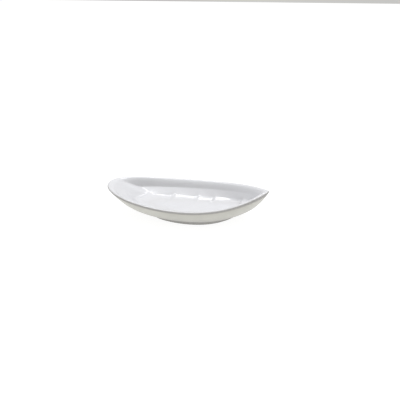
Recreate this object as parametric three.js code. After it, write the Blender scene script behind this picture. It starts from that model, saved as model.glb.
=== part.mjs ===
// Leaf-shaped glazed ceramic dish: rounded at the base end, pointed at the tip,
// both ends swept up, standing on a low leaf-shaped foot ring.
// Millimetres, +Z up. The base end points along -X and the tip along +X.
// The origin is on the ground, at the middle of the length and of the width.

import * as THREE from "three";

// Overall sizes
const LENGTH = 240;
const WIDTH = 115;
const MID_HEIGHT = 30.5;
const BASE_RISE = 12.5;
const TIP_RISE = 14.1;

// Leaf outline
const LOW_STATION = 0.517;
const FULLNESS = 1.25;
const TIP_ROUND = 0.011;

// Rim: a round outer edge, then a wide roll from the crest down to the inner wall.
// The roll gains depth from the middle to the base end and loses some at the tip;
// over the first ROLL_FADE of the length it rises to its depth at the very end.
// Its width and drops are given for a wall ROLL_WALL wide and ROLL_DEPTH high at the
// middle, and follow the wall.
const LIP_THICKNESS = 4;
const ROLL_WIDTH = 9;
const ROLL_DROP = 10.5;
const ROLL_DEEPER = 5.4;
const ROLL_SHALLOWER = 1;
const ROLL_WALL = 20.5;
const ROLL_DEPTH = 20.5;
const ROLL_END = 3;
const ROLL_FADE = 0.15;
const BARE_RIM = 1;
const BARE_TIP = 4;
const POINT_SETBACK = 1.3;

// Foot ring
const FOOT_LENGTH = 131;
const FOOT_WIDTH = 74;
const FOOT_OFFSET = 9.5;
const FOOT_HEIGHT = 6;
const FOOT_RING = 4.5;
const FOOT_TAPER = 0.6;
const FOOT_BARE = 5;
const WELL_DEPTH = 6;
const WELL_RING_SHARE = 0.5;

// Bowl floor, which lifts towards both ends
const BASE_THICKNESS = 4;
const FLOOR_LENGTH = 148;
const FLOOR_WIDTH = 47;
const FLOOR_OFFSET = 20;
const FLOOR_LIFT = { base: 4, tip: 12 };
const SPINE_SHARE = 0.45;
const FLOOR_SHARES = [0, 0.4, 0.75];

// How steeply the outer wall sweeps up at the base end, the sides and the tip
const OUTER_SWEEP = { base: 2.35, side: 1.95, tip: 2.3 };

// The inner wall's bends, as shares of its width: where each starts, how wide it is,
// and what it adds to the slope. The wall leaves the floor as a gently tilted band,
// then turns up to the foot of the lip's roll.
const WALL_BENDS = [
  { start: 0, width: 0.06, slope: 0.18 },
  { start: 0.06, width: 0.34, slope: 0.2 },
  { start: 0.4, width: 0.12, slope: 0.32 },
];

// Glaze coat, and mesh resolution
const GLAZE = 0.4;
const STATIONS = 28;
const OUTER_STEPS = 6;
const ROLL_STEPS = 4;
const EDGE_STEPS = 3;

// A station runs from 0 at the base end to 1 at the tip.
const stations = Array.from({ length: STATIONS + 1 }, (_, k) => (1 - Math.cos((Math.PI * k) / STATIONS)) / 2);

// One lap of the dish: up the +Y side from base to tip, then back along the -Y side.
const lap = Array.from({ length: 2 * STATIONS }, (_, j) => ({
  s: stations[j <= STATIONS ? j : 2 * STATIONS - j],
  side: j <= STATIONS ? 1 : -1,
}));

function leafCurve(s) {
  const left = 1 - s;
  const tip = Math.sqrt(left * left + 2 * TIP_ROUND * left);
  return Math.sqrt(s) * tip * (1 + FULLNESS * s * s);
}

const leafPeak = Math.max(...Array.from({ length: 1001 }, (_, i) => leafCurve(i / 1000)));

// A point on a leaf outline of the given length and width.
function leafPoint({ s, side }, centre, length, width) {
  return { x: centre + length * (s - 0.5), y: (side * width * leafCurve(s)) / leafPeak / 2 };
}

function rimHeight(s) {
  const base = (LOW_STATION - s) / LOW_STATION;
  const tip = (s - LOW_STATION) / (1 - LOW_STATION);
  return MID_HEIGHT + (s < LOW_STATION ? BASE_RISE * base * base : TIP_RISE * tip * tip);
}

// Height where the round of the lip starts.
const shoulderHeight = (s) => rimHeight(s) - LIP_THICKNESS / 2;

function sweep(power, s) {
  const t = 2 * s - 1;
  return power.side + ((t < 0 ? power.base : power.tip) - power.side) * t * t;
}

// The same outline moved in by an even margin; a pointed end needs a longer setback.
function insetPoint(at, centre, length, width, margin) {
  const tipMargin = margin * POINT_SETBACK;
  return leafPoint(at, centre + (margin - tipMargin) / 2, length - margin - tipMargin, width - 2 * margin);
}

const rimOuter = (at) => leafPoint(at, 0, LENGTH, WIDTH);
const rimCrest = (at) => insetPoint(at, 0, LENGTH, WIDTH, LIP_THICKNESS / 2);
const rollWidth = ROLL_WIDTH * (WIDTH - FOOT_WIDTH) / 2 / ROLL_WALL;
const rimInner = (at) => insetPoint(at, 0, LENGTH, WIDTH, LIP_THICKNESS / 2 + rollWidth);
const floorEdge = (at) => leafPoint(at, FLOOR_OFFSET, FLOOR_LENGTH, FLOOR_WIDTH);
const footEdge = (at, margin) => insetPoint(at, FOOT_OFFSET, FOOT_LENGTH, FOOT_WIDTH, margin);

const FLOOR_HEIGHT = WELL_DEPTH + BASE_THICKNESS;

function floorHeight(s) {
  const t = 2 * s - 1;
  return FLOOR_HEIGHT + (t < 0 ? FLOOR_LIFT.base : FLOOR_LIFT.tip) * t * t;
}

// The drop from the crest of the lip to the foot of its roll.
function rollDrop(s) {
  const base = Math.max((LOW_STATION - s) / LOW_STATION, 0);
  const tip = Math.max((s - LOW_STATION) / (1 - LOW_STATION), 0);
  const given = ROLL_DROP + ROLL_DEEPER * base ** 2 - ROLL_SHALLOWER * tip ** 6;
  const full = given * (MID_HEIGHT - FLOOR_HEIGHT) / ROLL_DEPTH;
  const fade = Math.min(s / ROLL_FADE, 1);
  return ROLL_END + (full - ROLL_END) * fade * fade * (3 - 2 * fade);
}

// The straight line along the middle of the floor that the surfaces start from.
function spinePoint(at, height) {
  return new THREE.Vector3(FLOOR_OFFSET + SPINE_SHARE * FLOOR_LENGTH * (at.s - 0.5), 0, height);
}

function wellSpine(at) {
  return new THREE.Vector3(FOOT_OFFSET + SPINE_SHARE * FOOT_LENGTH * (at.s - 0.5), 0, WELL_DEPTH);
}

function blend(a, b, t, height) {
  return new THREE.Vector3(a.x + (b.x - a.x) * t, a.y + (b.y - a.y) * t, height);
}

const ring = (make) => lap.map(make);

function floorRing(t) {
  return ring((at) => {
    const height = FLOOR_HEIGHT + (floorHeight(at.s) - FLOOR_HEIGHT) * t * t;
    return blend(spinePoint(at, height), floorEdge(at), t, height);
  });
}

// The height of a path that turns up at each of the wall's bends.
function climbed(t) {
  return WALL_BENDS.reduce((height, { start, width, slope }) => {
    const turned = Math.min(Math.max(t - start, 0), width);
    return height + slope * ((turned * turned) / (2 * width) + Math.max(t - start - width, 0));
  }, 0);
}

function innerWallRing(t) {
  return ring((at) => {
    const foot = floorHeight(at.s);
    const rise = rimHeight(at.s) - rollDrop(at.s) - foot;
    return blend(floorEdge(at), rimInner(at), t, foot + (rise * climbed(t)) / climbed(1));
  });
}

function outerWallPoint(at, t) {
  const rise = shoulderHeight(at.s) - FOOT_HEIGHT;
  return blend(footEdge(at, 0), rimOuter(at), t, FOOT_HEIGHT + rise * t ** sweep(OUTER_SWEEP, at.s));
}

// Where the outer glaze stops: a drop below the lip that widens into the tip.
function glazeLine(s) {
  const rise = shoulderHeight(s) - FOOT_HEIGHT;
  const drop = BARE_RIM + (BARE_TIP - BARE_RIM) * s ** 8;
  return (1 - drop / rise) ** (1 / sweep(OUTER_SWEEP, s));
}

// The round outer edge of the lip, from 0 at its outer side to PI / 2 at its crest.
function edgeRing(angle) {
  return ring((at) => {
    const height = shoulderHeight(at.s) + (LIP_THICKNESS / 2) * Math.sin(angle);
    return blend(rimCrest(at), rimOuter(at), Math.cos(angle), height);
  });
}

// The roll of the lip, from 0 at its crest to 1 at the top of the inner wall.
function rollRing(t) {
  return ring((at) => blend(rimCrest(at), rimInner(at), t, rimHeight(at.s) - rollDrop(at.s) * t * t));
}

function footRing(margin, height) {
  return ring((at) => new THREE.Vector3(footEdge(at, margin).x, footEdge(at, margin).y, height));
}

// Glazed surfaces, each a list of rings
function bowlSurface() {
  const rings = FLOOR_SHARES.map(floorRing);
  WALL_BENDS.forEach(({ start, width }) => {
    rings.push(innerWallRing(start), innerWallRing(start + width / 2));
  });
  const { start, width } = WALL_BENDS.at(-1);
  rings.push(innerWallRing(start + width), innerWallRing((start + width + 1) / 2));
  for (let i = ROLL_STEPS; i >= 0; i -= 1) {
    rings.push(rollRing(i / ROLL_STEPS));
  }
  for (let i = EDGE_STEPS - 1; i >= 1; i -= 1) {
    rings.push(edgeRing((Math.PI / 2) * (i / EDGE_STEPS)));
  }
  return rings;
}

function outerSurface() {
  const rings = [];
  for (let i = OUTER_STEPS; i >= 0; i -= 1) {
    rings.push(ring((at) => outerWallPoint(at, (glazeLine(at.s) * i) / OUTER_STEPS)));
  }
  rings.push(footRing(FOOT_TAPER, FOOT_BARE));
  return rings;
}

function wellSurface() {
  const wall = FOOT_RING;
  return [
    footRing(wall - FOOT_TAPER, FOOT_BARE),
    footRing(wall, WELL_DEPTH),
    ring((at) => blend(wellSpine(at), footEdge(at, wall), WELL_RING_SHARE, WELL_DEPTH)),
    ring(wellSpine),
  ];
}

const onSpine = (points) => points.every((p) => p.y === 0);

// The face of the clay below a coat of glaze.
function clayFace(rings, coat) {
  return rings.map((points, i) => points.map((p, j) => {
    if (onSpine(points)) {
      return p.clone().add(new THREE.Vector3(0, 0, rings.at(-1) === points ? coat : -coat));
    }
    const along = new THREE.Vector3().subVectors(
      points[(j + 1) % points.length], points[(j - 1 + points.length) % points.length]);
    const across = new THREE.Vector3().subVectors(
      rings[Math.min(i + 1, rings.length - 1)][j], rings[Math.max(i - 1, 0)][j]);
    return p.clone().addScaledVector(across.cross(along).normalize(), coat);
  }));
}

// A closed body skinned over a list of rings. A list whose ends lie on the spine
// is sewn up there; any other list is joined back to its first ring.
function bodyOf(rings) {
  const positions = [];
  const rows = rings.map((points) => {
    const start = positions.length / 3;
    const kept = onSpine(points) ? points.slice(0, STATIONS + 1) : points;
    kept.forEach((p) => positions.push(p.x, p.y, p.z));
    return points.map((_, j) => start + (j < kept.length ? j : points.length - j));
  });
  if (!onSpine(rings[0])) {
    rows.push(rows[0]);
  }
  const triangles = [];
  const add = (a, b, c) => {
    if (a !== b && b !== c && c !== a) {
      triangles.push(a, b, c);
    }
  };
  for (let i = 0; i < rows.length - 1; i += 1) {
    const above = rings[i];
    const below = rings[(i + 1) % rings.length];
    for (let j = 0; j < lap.length; j += 1) {
      const next = (j + 1) % lap.length;
      const quad = [rows[i][j], rows[i][next], rows[i + 1][next], rows[i + 1][j]];
      // Cutting along the shorter diagonal keeps the faces that two parts share alike.
      const straight = above[j].distanceTo(below[next]) < above[next].distanceTo(below[j]);
      const [a, b, c, d] = straight ? quad : [...quad.slice(1), quad[0]];
      add(a, b, c);
      add(a, c, d);
    }
  }
  const geometry = new THREE.BufferGeometry();
  geometry.setAttribute("position", new THREE.Float32BufferAttribute(positions, 3));
  geometry.setIndex(triangles);
  geometry.computeVertexNormals();
  return geometry;
}

const dish = new THREE.Group();

function addPart(name, rings, look) {
  const mesh = new THREE.Mesh(bodyOf(rings), new THREE.MeshStandardMaterial(look));
  mesh.name = name;
  dish.add(mesh);
}

const bowl = bowlSurface();
const outer = outerSurface();
const well = wellSurface();
const bowlClay = clayFace(bowl, GLAZE);
const outerClay = clayFace(outer, GLAZE);
const wellClay = clayFace(well, GLAZE);
const reversed = (rings) => [...rings].reverse();

const bareRim = [bowl.at(-1), edgeRing(0), outer[0]];
const bareFoot = [footRing(2 * FOOT_TAPER, 0), footRing(FOOT_RING - 2 * FOOT_TAPER, 0)];

const clay = { color: 0x8f857c, roughness: 0.75, metalness: 0 };
const gloss = { color: 0xf0eff4, roughness: 0.12, metalness: 0 };
const satin = { color: 0xc9c5bb, roughness: 0.3, metalness: 0 };

addPart("dish_body", [...bowlClay, ...bareRim, ...outerClay, ...bareFoot, ...wellClay], clay);
addPart("inner_glaze", [...bowl, ...reversed(bowlClay)], gloss);
addPart("outer_glaze", [...outer, ...reversed(outerClay)], satin);
addPart("foot_well_glaze", [...reversed(wellClay), ...well], satin);

export default dish;
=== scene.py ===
"""Looks for a leaf-shaped glazed ceramic dish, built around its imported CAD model.

Metres, in the row's frame: +X runs from the rounded base end to the pointed tip,
+Z is up, and the ground is at Z = 0.
"""

import math

import bpy
import numpy as np
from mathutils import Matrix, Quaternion, Vector


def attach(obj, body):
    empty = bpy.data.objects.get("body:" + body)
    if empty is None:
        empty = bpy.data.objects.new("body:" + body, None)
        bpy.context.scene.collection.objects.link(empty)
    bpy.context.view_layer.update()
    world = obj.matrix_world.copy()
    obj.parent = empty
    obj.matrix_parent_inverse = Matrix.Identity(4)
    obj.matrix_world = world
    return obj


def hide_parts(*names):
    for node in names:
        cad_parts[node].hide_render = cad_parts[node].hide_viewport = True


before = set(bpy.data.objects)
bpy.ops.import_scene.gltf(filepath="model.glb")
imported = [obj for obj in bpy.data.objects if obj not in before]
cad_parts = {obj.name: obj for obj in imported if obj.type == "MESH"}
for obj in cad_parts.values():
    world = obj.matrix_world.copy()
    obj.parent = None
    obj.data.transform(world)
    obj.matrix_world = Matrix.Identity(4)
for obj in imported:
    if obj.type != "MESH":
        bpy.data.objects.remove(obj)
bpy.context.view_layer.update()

MM = 0.001

# Overall sizes, in millimetres
LENGTH = 240.0
WIDTH = 115.0
MID_HEIGHT = 30.5
BASE_RISE = 12.5
TIP_RISE = 14.1

# Leaf outline
LOW_STATION = 0.517
FULLNESS = 1.25
TIP_ROUND = 0.011

# Rim
LIP_THICKNESS = 4.0
ROLL_WIDTH = 9.0
ROLL_DROP = 10.5
ROLL_DEEPER = 5.4
ROLL_SHALLOWER = 1.0
ROLL_END = 3.0
ROLL_FADE = 0.15
BARE_RIM = 1.0
BARE_TIP = 4.0
BARE_TIP_CURVE = 8
POINT_SETBACK = 1.3

# Foot ring
FOOT_LENGTH = 131.0
FOOT_WIDTH = 74.0
FOOT_OFFSET = 9.5
FOOT_HEIGHT = 6.0
FOOT_RING = 4.5
FOOT_TAPER = 0.6
FOOT_BARE = 5.0
WELL_DEPTH = 6.0

# Bowl floor, which lifts towards both ends
BASE_THICKNESS = 4.0
FLOOR_HEIGHT = WELL_DEPTH + BASE_THICKNESS
FLOOR_LENGTH = 148.0
FLOOR_WIDTH = 47.0
FLOOR_OFFSET = 20.0
FLOOR_LIFT = (4.0, 12.0)
SPINE_SHARE = 0.45

# How steeply the wall sweeps up at the base end, the sides and the tip
OUTER_SWEEP = (2.35, 1.95, 2.3)

# The inner wall's bends: where each starts, how wide it is, and what it adds to the slope.
# It leaves the floor as a gently tilted band, up to BAND of its width, then turns up
# to the foot of the lip's roll.
WALL_BENDS = ((0.0, 0.06, 0.18), (0.06, 0.34, 0.20), (0.40, 0.12, 0.32))
BAND = 0.4

# Thickness of a coat of glaze
GLAZE = 0.4

# Leaf veins: where each leaves the middle line, how far it leans to the tip, and the
# distance to the side over which it does most of that
VEINS = (-100.0, -74.0, -37.0, 0.0, 26.0, 76.0)
VEIN_LEAN = 21.8
VEIN_REACH = 26.0

# Between veins the floor's edge swells into a lobe. It moves out and in by up to half this
# share of its distance from the spine.
SCALLOP = 0.2

# The surface steps at each vein: the step's height, the length of its quick side, and the
# length past the first vein and the last over which the surface returns to its own height.
# STEP_AT_EDGE of the height is reached at the floor's edge and all of it at the end of the
# band, and over the next STEP_FADE of the wall the step dies out.
STEP_RELIEF = 1.2
STEP_DROP = 6.0
STEP_ENDS = 20.0
STEP_AT_EDGE = 0.35
STEP_FADE = 0.45

# A fine ridge along each vein. It has its full height from RIDGE_START of the floor to the
# floor's edge, and dies out by RIDGE_END of the wall.
RIDGE_RELIEF = 0.15
RIDGE_WIDTH = 1.3
RIDGE_START = 0.25
RIDGE_END = 0.6

# Mesh resolution
STATIONS = 200
FLOOR_STEPS = 24
WALL_STEPS = 40
LIP_STEPS = 18
FOOT_STEPS = 3
WELL_STEPS = 10

# The lip's step where the inner glaze ends and the bare rim begins
GLAZED_LIP_STEP = 3

# Where the glaze changes, in rings of the mesh or in shares of the outer wall from the top
POOL_RINGS = 8
THIN_LIP_RINGS = 4
THIN_OUTER_RINGS = 2
# Painted shade low on the outer wall: where it starts and how it grows, in shares of the outer wall from
# the top
SHADE_START = 0.25
SHADE_SPAN = 0.35
SHADE_CURVE = 1.5

# Stage and camera
FLOOR_HALF = 4.0
CAMERA_AZIMUTH = math.radians(8)
CAMERA_ELEVATION = math.radians(26)
CAMERA_DISTANCE = 3 * LENGTH * MM
CAMERA_LENS = 43.5
CAMERA_SHIFT = (0.0325, -0.01365)


# ---------------------------------------------------------------- shape

def leaf_curve(s):
    """The leaf's half width, before scaling, at a share of its length from the round end."""
    left = 1 - s
    tip = np.sqrt(left * left + 2 * TIP_ROUND * left)
    return np.sqrt(s) * tip * (1 + FULLNESS * s * s)


LEAF_PEAK = leaf_curve(np.linspace(0, 1, 1001)).max()

# Stations round the whole lap, closer together at the two ends, and the side of each
HALF_LAP = (1 - np.cos(math.pi * np.arange(STATIONS + 1) / STATIONS)) / 2
S = np.concatenate([HALF_LAP, HALF_LAP[-2:0:-1]])
SIDE = np.concatenate([np.ones(STATIONS + 1), -np.ones(STATIONS - 1)])


def leaf(centre, length, width):
    """A leaf outline round the whole lap, as x and y."""
    return np.stack([centre + length * (S - 0.5), SIDE * width * leaf_curve(S) / LEAF_PEAK / 2], 1)


def inset(centre, length, width, margin):
    """The same outline moved in by an even margin; the point needs a longer setback."""
    tip_margin = margin * POINT_SETBACK
    return leaf(centre + (margin - tip_margin) / 2, length - margin - tip_margin, width - 2 * margin)


def spine_of(centre, length):
    """The line along the middle of a leaf that its surface starts from."""
    return np.stack([centre + SPINE_SHARE * length * (S - 0.5), np.zeros_like(S)], 1)


RIM_OUTER = leaf(0, LENGTH, WIDTH)
RIM_CREST = inset(0, LENGTH, WIDTH, LIP_THICKNESS / 2)
RIM_INNER = inset(0, LENGTH, WIDTH, LIP_THICKNESS / 2 + ROLL_WIDTH)
FLOOR_EDGE = leaf(FLOOR_OFFSET, FLOOR_LENGTH, FLOOR_WIDTH)
SPINE = spine_of(FLOOR_OFFSET, FLOOR_LENGTH)

RIM_HEIGHT = MID_HEIGHT + np.where(
    S < LOW_STATION,
    BASE_RISE * ((LOW_STATION - S) / LOW_STATION) ** 2,
    TIP_RISE * ((S - LOW_STATION) / (1 - LOW_STATION)) ** 2,
)
SHOULDER = RIM_HEIGHT - LIP_THICKNESS / 2


def roll_drop():
    """The drop from the lip's crest to the foot of its roll.

    It is more towards the base end and a little less at the tip."""
    base = np.clip((LOW_STATION - S) / LOW_STATION, 0, 1)
    tip = np.clip((S - LOW_STATION) / (1 - LOW_STATION), 0, 1)
    full = ROLL_DROP + ROLL_DEEPER * base ** 2 - ROLL_SHALLOWER * tip ** 6
    fade = np.clip(S / ROLL_FADE, 0, 1)
    return ROLL_END + (full - ROLL_END) * fade * fade * (3 - 2 * fade)


def foot_edge(margin):
    return inset(FOOT_OFFSET, FOOT_LENGTH, FOOT_WIDTH, margin)


def sweep(power):
    """A power at every station, from its values at the base end, the sides and the tip."""
    base, side, tip = power
    t = 2 * S - 1
    return side + (np.where(t < 0, base, tip) - side) * t * t


def raised(plan, height):
    """A ring in 3-D from its plan and its height."""
    return np.column_stack([plan, np.broadcast_to(height, S.shape)])


def between(a, b, t):
    """Points at a share of the way from one ring to another; the share may vary by station."""
    t = np.reshape(t, (-1, 1)) if np.ndim(t) else t
    return a + (b - a) * t


def lobed(plan, weight):
    """Points drawn out from the spine into a shallow lobe between each pair of veins."""
    place = vein_place(plan[:, 0], plan[:, 1])
    return plan + (FLOOR_EDGE - SPINE) * (SCALLOP * weight * vein_steps(place))[:, None]


def climbed(t):
    """The height of a path that turns up at each of the wall's bends."""
    height = 0
    for start, width, slope in WALL_BENDS:
        turned = min(max(t - start, 0), width)
        height += slope * (turned * turned / (2 * width) + max(t - start - width, 0))
    return height


def wall_rise(t):
    """The share of the inner wall's height that is reached at a share of its width."""
    return climbed(t) / climbed(1)


def floor_height():
    """The height of the floor's edge."""
    t = 2 * S - 1
    return FLOOR_HEIGHT + np.where(t < 0, *FLOOR_LIFT) * t * t


def floor_ring(t):
    height = FLOOR_HEIGHT + (floor_height() - FLOOR_HEIGHT) * t * t
    return raised(lobed(between(SPINE, FLOOR_EDGE, t), t ** 3), height)


def inner_wall(t):
    foot = floor_height()
    height = foot + (RIM_HEIGHT - roll_drop() - foot) * wall_rise(t)
    return raised(lobed(between(FLOOR_EDGE, RIM_INNER, t), (1 - t) ** 3), height)


def outer_wall(t):
    height = FOOT_HEIGHT + (SHOULDER - FOOT_HEIGHT) * t ** sweep(OUTER_SWEEP)
    return raised(between(foot_edge(0), RIM_OUTER, t), height)


def lip(t):
    """The lip from its outer side, 0, over its crest, 0.5, to the top of the inner wall, 1."""
    if t < 0.5:
        angle = math.pi * t
        plan = between(RIM_CREST, RIM_OUTER, math.cos(angle))
        return raised(plan, SHOULDER + LIP_THICKNESS / 2 * math.sin(angle))
    inward = 2 * t - 1
    return raised(between(RIM_CREST, RIM_INNER, inward), RIM_HEIGHT - roll_drop() * inward * inward)


def bowl_surface():
    """The inner glaze from the spine of the floor out to the top of the lip."""
    rings = [floor_ring(i / FLOOR_STEPS) for i in range(FLOOR_STEPS)]
    rings += [inner_wall(i / WALL_STEPS) for i in range(WALL_STEPS + 1)]
    rings += [lip(i / LIP_STEPS) for i in range(LIP_STEPS - 1, GLAZED_LIP_STEP - 1, -1)]
    rings = np.array(rings)
    place = vein_place(rings[:, :, 0], rings[:, :, 1])
    floor = np.arange(len(rings)) / FLOOR_STEPS
    wall = (np.arange(len(rings)) - FLOOR_STEPS) / WALL_STEPS
    on_band = STEP_AT_EDGE + (1 - STEP_AT_EDGE) * wall / BAND
    past_band = np.clip(1 - (wall - BAND) / STEP_FADE, 0, 1) ** 2
    steps = np.where(wall < 0, STEP_AT_EDGE * floor ** 2, on_band)
    steps = np.where(wall > BAND, past_band, steps)
    ridges = np.clip(floor / RIDGE_START, 0, 1) * np.clip(1 - wall / RIDGE_END, 0, 1)
    rings[:, :, 2] -= STEP_RELIEF * vein_steps(place) * steps[:, None]
    rings[:, :, 2] += RIDGE_RELIEF * vein_ridges(place) * ridges[:, None]
    return rings


def outer_surface():
    """The outer glaze from the bare line below the lip down to the side of the foot."""
    bare = BARE_RIM + (BARE_TIP - BARE_RIM) * S ** BARE_TIP_CURVE
    glaze_line = (1 - bare / (SHOULDER - FOOT_HEIGHT)) ** (1 / sweep(OUTER_SWEEP))
    rings = [outer_wall(glaze_line * i / WALL_STEPS) for i in range(WALL_STEPS, -1, -1)]
    for i in range(1, FOOT_STEPS + 1):
        down = i / FOOT_STEPS
        height = FOOT_HEIGHT + (FOOT_BARE - FOOT_HEIGHT) * down
        rings.append(raised(foot_edge(FOOT_TAPER * down), height))
    return np.array(rings)


def well_surface():
    """The glaze inside the ring of the foot, in to its spine."""
    inner = foot_edge(FOOT_RING)
    spine = spine_of(FOOT_OFFSET, FOOT_LENGTH)
    rings = [raised(foot_edge(FOOT_RING - FOOT_TAPER), FOOT_BARE), raised(inner, WELL_DEPTH)]
    for i in range(WELL_STEPS - 1, -1, -1):
        rings.append(raised(between(spine, inner, i / WELL_STEPS), WELL_DEPTH))
    return np.array(rings)


def vein_place(x, y):
    """Distance along the leaf, measured back along the slanting veins to the middle line."""
    return x - VEIN_LEAN * (1 - np.exp(-np.abs(y) / VEIN_REACH))


def vein_steps(q):
    """A slow rise from each vein to the next, then a quick drop, between -0.5 and 0.5."""
    step = np.zeros_like(q)
    for low, high in zip(VEINS, VEINS[1:]):
        p = (q - low) / (high - low)
        drop = np.clip((high - q) / STEP_DROP, 0, 1)
        rise = p * drop * drop * (3 - 2 * drop) - 0.5
        step = np.where((p >= 0) & (p < 1), rise, step)
    ends = np.clip((VEINS[0] - q) / STEP_ENDS, 0, 1) + np.clip((q - VEINS[-1]) / STEP_ENDS, 0, 1)
    outside = (q < VEINS[0]) | (q >= VEINS[-1])
    return np.where(outside, -0.5 * (1 - ends), step)


def vein_ridges(q):
    """1 along each vein, falling to 0 between them."""
    return sum(np.exp(-(((q - v) / RIDGE_WIDTH) ** 2)) for v in VEINS)


def normals(rings):
    """The unit normal at every point, on the clay's side of a coat's face."""
    along = np.roll(rings, -1, 1) - np.roll(rings, 1, 1)
    across = np.gradient(rings, axis=0)
    n = np.cross(across, along)
    size = np.linalg.norm(n, axis=2, keepdims=True)
    return n / np.maximum(size, 1e-9)


def clay_face(rings, end_sign):
    """The face of the clay below a coat of glaze; end_sign is up or down at the spine."""
    n = normals(rings)
    spine = np.all(rings[:, :, 1] == 0, axis=1)
    n[spine] = (0, 0, end_sign)
    return rings + GLAZE * n


# ---------------------------------------------------------------- mesh

def build(name, rings, node, slot, material, **paints):
    """A closed mesh skinned over rings. Ends on the spine are sewn up; other ends join each other.

    Each paint gives one share per ring, kept as a mesh attribute for the material."""
    rows, verts = [], []
    shares = {paint: [] for paint in paints}
    for number, ring in enumerate(rings):
        spine = np.all(ring[:, 1] == 0)
        kept = ring[: STATIONS + 1] if spine else ring
        start = len(verts)
        verts.extend(kept * MM)
        for paint, values in paints.items():
            shares[paint].extend([float(values[number])] * len(kept))
        j = np.arange(len(ring))
        rows.append(start + np.where(j < len(kept), j, len(ring) - j))
    if not np.all(rings[0][:, 1] == 0):
        rows.append(rows[0])
    faces = []
    count = len(S)
    for a, b in zip(rows, rows[1:]):
        for j in range(count):
            k = (j + 1) % count
            corners = list(dict.fromkeys((int(a[j]), int(a[k]), int(b[k]), int(b[j]))))
            if len(corners) > 2:
                faces.append(corners)
    mesh = bpy.data.meshes.new(name)
    mesh.from_pydata([tuple(v) for v in verts], [], faces)
    mesh.polygons.foreach_set("use_smooth", [True] * len(mesh.polygons))
    mesh.materials.append(material)
    for paint, values in shares.items():
        mesh.attributes.new(paint, "FLOAT", "POINT").data.foreach_set("value", values)
    mesh.validate()
    obj = bpy.data.objects.new(name, mesh)
    bpy.context.collection.objects.link(obj)
    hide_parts(node)
    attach(obj, "root")
    return obj


# ---------------------------------------------------------------- materials

def new_material(name):
    mat = bpy.data.materials.new(name)
    mat.use_nodes = True
    tree = mat.node_tree
    tree.nodes.clear()
    out = tree.nodes.new("ShaderNodeOutputMaterial")
    shader = tree.nodes.new("ShaderNodeBsdfPrincipled")
    tree.links.new(shader.outputs["BSDF"], out.inputs["Surface"])
    return mat, tree, shader


def noise(tree, scale, detail, roughness=0.5):
    coords = tree.nodes.new("ShaderNodeTexCoord")
    node = tree.nodes.new("ShaderNodeTexNoise")
    node.inputs["Scale"].default_value = scale
    node.inputs["Detail"].default_value = detail
    node.inputs["Roughness"].default_value = roughness
    tree.links.new(coords.outputs["Object"], node.inputs["Vector"])
    return node.outputs["Fac"]


def ramp(tree, value, stops):
    node = tree.nodes.new("ShaderNodeValToRGB")
    points = node.color_ramp.elements
    while len(points) < len(stops):
        points.new(0.5)
    for point, (at, colour) in zip(points, stops):
        point.position = at
        point.color = (*colour, 1)
    tree.links.new(value, node.inputs["Fac"])
    return node.outputs["Color"]


def bump(tree, shader, height, strength, distance):
    node = tree.nodes.new("ShaderNodeBump")
    node.inputs["Strength"].default_value = strength
    node.inputs["Distance"].default_value = distance
    tree.links.new(height, node.inputs["Height"])
    tree.links.new(node.outputs["Normal"], shader.inputs["Normal"])


def painted(tree, name):
    """A mesh attribute between 0 and 1."""
    node = tree.nodes.new("ShaderNodeAttribute")
    node.attribute_name = name
    return node.outputs["Fac"]


def mixed(tree, share, first, second):
    """One colour over another by a share; a colour may be a plain triple."""
    node = tree.nodes.new("ShaderNodeMix")
    node.data_type = "RGBA"
    tree.links.new(share, node.inputs[0])
    for socket, colour in ((node.inputs[6], first), (node.inputs[7], second)):
        if isinstance(colour, tuple):
            socket.default_value = (*colour, 1)
        else:
            tree.links.new(colour, socket)
    return node.outputs[2]


def specks(tree, scale, size):
    """1 in small scattered spots, 0 between them."""
    coords = tree.nodes.new("ShaderNodeTexCoord")
    node = tree.nodes.new("ShaderNodeTexVoronoi")
    node.inputs["Scale"].default_value = scale
    tree.links.new(coords.outputs["Object"], node.inputs["Vector"])
    return ramp(tree, node.outputs["Distance"], [(0.0, (1, 1, 1)), (size, (0, 0, 0))])


def white_glaze():
    """Glossy cool white, a little greyer where it pools, thin and warm where it breaks over the lip."""
    mat, tree, shader = new_material("white_glaze")
    tint = ramp(tree, noise(tree, 14, 4), [(0.3, (0.82, 0.825, 0.85)), (0.7, (0.86, 0.865, 0.89))])
    tint = mixed(tree, painted(tree, "pool"), tint, (0.80, 0.80, 0.815))
    tint = mixed(tree, painted(tree, "thin"), tint, (0.68, 0.665, 0.64))
    tint = mixed(tree, specks(tree, 260, 0.06), tint, (0.62, 0.60, 0.56))
    tree.links.new(tint, shader.inputs["Base Color"])
    shader.inputs["Roughness"].default_value = 0.35
    shader.inputs["Coat Weight"].default_value = 1.0
    shader.inputs["Coat Roughness"].default_value = 0.05
    shader.inputs["Coat IOR"].default_value = 1.5
    bump(tree, shader, noise(tree, 60, 2), 0.1, 0.0004)
    return mat


def grey_glaze():
    """Satin warm grey, mottled, with painted shade low on the bowl, darker where it thins, and fine dark
    specks.
    """
    mat, tree, shader = new_material("grey_glaze")
    tint = ramp(tree, noise(tree, 30, 6, 0.6), [(0.3, (0.525, 0.52, 0.475)), (0.7, (0.595, 0.59, 0.54))])
    # painted shade: the low part of the outer wall is darkened to stand in for the shade under the bowl
    tint = mixed(tree, painted(tree, "low"), tint, (0.40, 0.39, 0.36))
    tint = mixed(tree, painted(tree, "thin"), tint, (0.46, 0.44, 0.40))
    tint = mixed(tree, specks(tree, 420, 0.10), tint, (0.36, 0.33, 0.28))
    tree.links.new(tint, shader.inputs["Base Color"])
    shader.inputs["Roughness"].default_value = 0.35
    bump(tree, shader, noise(tree, 300, 3), 0.15, 0.0003)
    return mat


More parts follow.
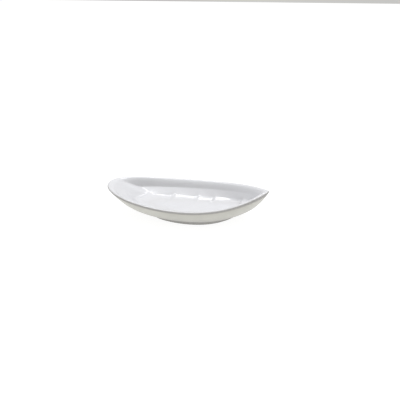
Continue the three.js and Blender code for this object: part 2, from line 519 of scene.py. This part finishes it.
def fired_clay():
    """Bare matt stoneware, with painted shade on the foot, which is made darker and a little browner."""
    mat, tree, shader = new_material("fired_clay")
    rim = ramp(tree, noise(tree, 400, 4, 0.7), [(0.3, (0.36, 0.355, 0.35)), (0.7, (0.46, 0.455, 0.445))])
    # painted shade: a darker, browner copy of the clay for the foot, standing in for the shade under the
    # dish
    foot = ramp(tree, noise(tree, 400, 4, 0.7), [(0.3, (0.33, 0.325, 0.31)), (0.7, (0.42, 0.41, 0.39))])
    tint = mixed(tree, painted(tree, "foot"), rim, foot)
    tree.links.new(tint, shader.inputs["Base Color"])
    shader.inputs["Roughness"].default_value = 0.8
    bump(tree, shader, noise(tree, 900, 4), 0.3, 0.0003)
    return mat


# ---------------------------------------------------------------- the dish

bowl, outer, well = bowl_surface(), outer_surface(), well_surface()
bowl_clay, outer_clay, well_clay = clay_face(bowl, -1), clay_face(outer, 0), clay_face(well, 1)

clay, white, grey = fired_clay(), white_glaze(), grey_glaze()


def both(values):
    """Shares for a coat's face, then the same for its back."""
    return [*values, *values[::-1]]


bare_rim = [*(lip(i / LIP_STEPS) for i in range(GLAZED_LIP_STEP, -1, -1)), outer[0]]
bare_foot = [
    raised(foot_edge(2 * FOOT_TAPER), 0),
    raised(foot_edge(FOOT_RING - 2 * FOOT_TAPER), 0),
]
clay_rings = [*bowl_clay, *bare_rim, *outer_clay, *bare_foot, *well_clay]
# the clay rings on the foot, which get the clay's painted shade
foot_shade_rings = np.arange(len(clay_rings)) > len(bowl_clay) + len(bare_rim)

bowl_at = np.arange(len(bowl))
pool = np.exp(-(((bowl_at - FLOOR_STEPS) / POOL_RINGS) ** 2))
lip_thin = np.clip(1 - bowl_at[::-1] / THIN_LIP_RINGS, 0, 1)
outer_at = np.arange(len(outer))
outer_thin = np.clip(1 - outer_at / THIN_OUTER_RINGS, 0, 1)
# how much painted shade each ring of the outer wall gets, growing towards the foot
outer_painted_shade = np.clip((outer_at / WALL_STEPS - SHADE_START) / SHADE_SPAN, 0, 1) ** SHADE_CURVE

build("clay_shell", clay_rings, "dish_body", "fired_clay", clay, foot=foot_shade_rings)
build("white_coat", [*bowl, *bowl_clay[::-1]], "inner_glaze", "white_glaze", white,
      pool=both(pool), thin=both(lip_thin))
# the low attribute carries the outer wall's painted shade
build("grey_coat", [*outer, *outer_clay[::-1]], "outer_glaze", "grey_glaze", grey,
      thin=both(outer_thin), low=both(outer_painted_shade))
build("foot_coat", [*well_clay[::-1], *well], "foot_well_glaze", "grey_glaze", grey)


# ---------------------------------------------------------------- stage, light and camera

def make_floor():
    mesh = bpy.data.meshes.new("floor")
    corners = [(x * FLOOR_HALF, y * FLOOR_HALF, 0) for x, y in ((-1, -1), (1, -1), (1, 1), (-1, 1))]
    mesh.from_pydata(corners, [], [(0, 1, 2, 3)])
    floor = bpy.data.objects.new("floor", mesh)
    bpy.context.collection.objects.link(floor)
    mat, tree, shader = new_material("floor")
    shader.inputs["Base Color"].default_value = (0.3, 0.3, 0.3, 1)
    shader.inputs["Emission Color"].default_value = (1, 1, 1, 1)
    shader.inputs["Emission Strength"].default_value = 0.86
    shader.inputs["Roughness"].default_value = 0.9
    shader.inputs["Specular IOR Level"].default_value = 0.0
    mesh.materials.append(mat)


def make_light(name, place, size, power, colour, roll=0):
    """A rectangular light aimed at the dish, rolled about its own beam by an angle in degrees."""
    data = bpy.data.lights.new(name, "AREA")
    data.shape = "RECTANGLE"
    data.size, data.size_y = size
    data.energy = power
    data.color = colour
    light = bpy.data.objects.new(name, data)
    bpy.context.collection.objects.link(light)
    light.location = place
    light.rotation_mode = "QUATERNION"
    aim = (-Vector(place)).to_track_quat("-Z", "Y")
    light.rotation_quaternion = aim @ Quaternion((0, 0, 1), math.radians(roll))
    return light


def make_camera():
    target = Vector((0, 0, MID_HEIGHT * MM))
    back = Vector((
        math.sin(CAMERA_AZIMUTH) * math.cos(CAMERA_ELEVATION),
        -math.cos(CAMERA_AZIMUTH) * math.cos(CAMERA_ELEVATION),
        math.sin(CAMERA_ELEVATION),
    ))
    data = bpy.data.cameras.new("camera")
    data.sensor_width = 36
    data.lens = CAMERA_LENS
    data.shift_x, data.shift_y = CAMERA_SHIFT
    camera = bpy.data.objects.new("camera", data)
    bpy.context.collection.objects.link(camera)
    camera.location = target + back * CAMERA_DISTANCE
    camera.rotation_mode = "QUATERNION"
    camera.rotation_quaternion = (-back).to_track_quat("-Z", "Y")
    bpy.context.scene.camera = camera


def math_node(tree, operation, *values):
    """The result of a sum; a value may be a socket or a plain number."""
    node = tree.nodes.new("ShaderNodeMath")
    node.operation = operation
    for socket, value in zip(node.inputs, values):
        if isinstance(value, (int, float)):
            socket.default_value = value
        else:
            tree.links.new(value, socket)
    return node.outputs["Value"]


def make_world():
    """Soft warm surroundings, brightest overhead and dimmer to the two ends of the dish."""
    world = bpy.data.worlds.new("studio")
    world.use_nodes = True
    tree = world.node_tree
    background = tree.nodes["Background"]
    coords = tree.nodes.new("ShaderNodeTexCoord")
    split = tree.nodes.new("ShaderNodeSeparateXYZ")
    tree.links.new(coords.outputs["Generated"], split.inputs["Vector"])
    x, y, z = split.outputs
    around = math_node(tree, "ARCTAN2", z, math_node(tree, "MULTIPLY", y, -1))
    turn = math_node(tree, "DIVIDE", around, math.pi)
    glow = ramp(tree, turn, [
        (0.0, (0.55, 0.545, 0.53)), (0.25, (0.58, 0.575, 0.56)), (0.3, (0.61, 0.605, 0.595)),
        (0.5, (0.655, 0.65, 0.64)), (1.0, (0.605, 0.60, 0.59)),
    ])
    aside = math_node(tree, "MULTIPLY_ADD", x, 0.5, 0.5)
    dim = ramp(tree, aside, [(0.0, (1, 1, 1)), (0.5, (0, 0, 0)), (1.0, (0.62, 0.62, 0.62))])
    glow = mixed(tree, dim, glow, (0.28, 0.28, 0.28))
    tree.links.new(glow, background.inputs["Color"])
    background.inputs["Strength"].default_value = 1.12
    bpy.context.scene.world = world


make_floor()
make_world()
key = make_light("overhead", (-0.05, 0.45, 0.87), (0.7, 0.3), 3.45, (0.95, 0.965, 1.0))
key.visible_glossy = False
make_light("window", (-0.10, 0.5, 0.87), (0.8, 0.30), 0.6, (0.98, 0.98, 1.0))
make_light("strip", (-0.10, 0.48, 0.84), (0.9, 0.08), 1.6, (0.98, 0.98, 1.0), roll=28)
make_camera()
bpy.context.scene.view_settings.view_transform = "Standard"
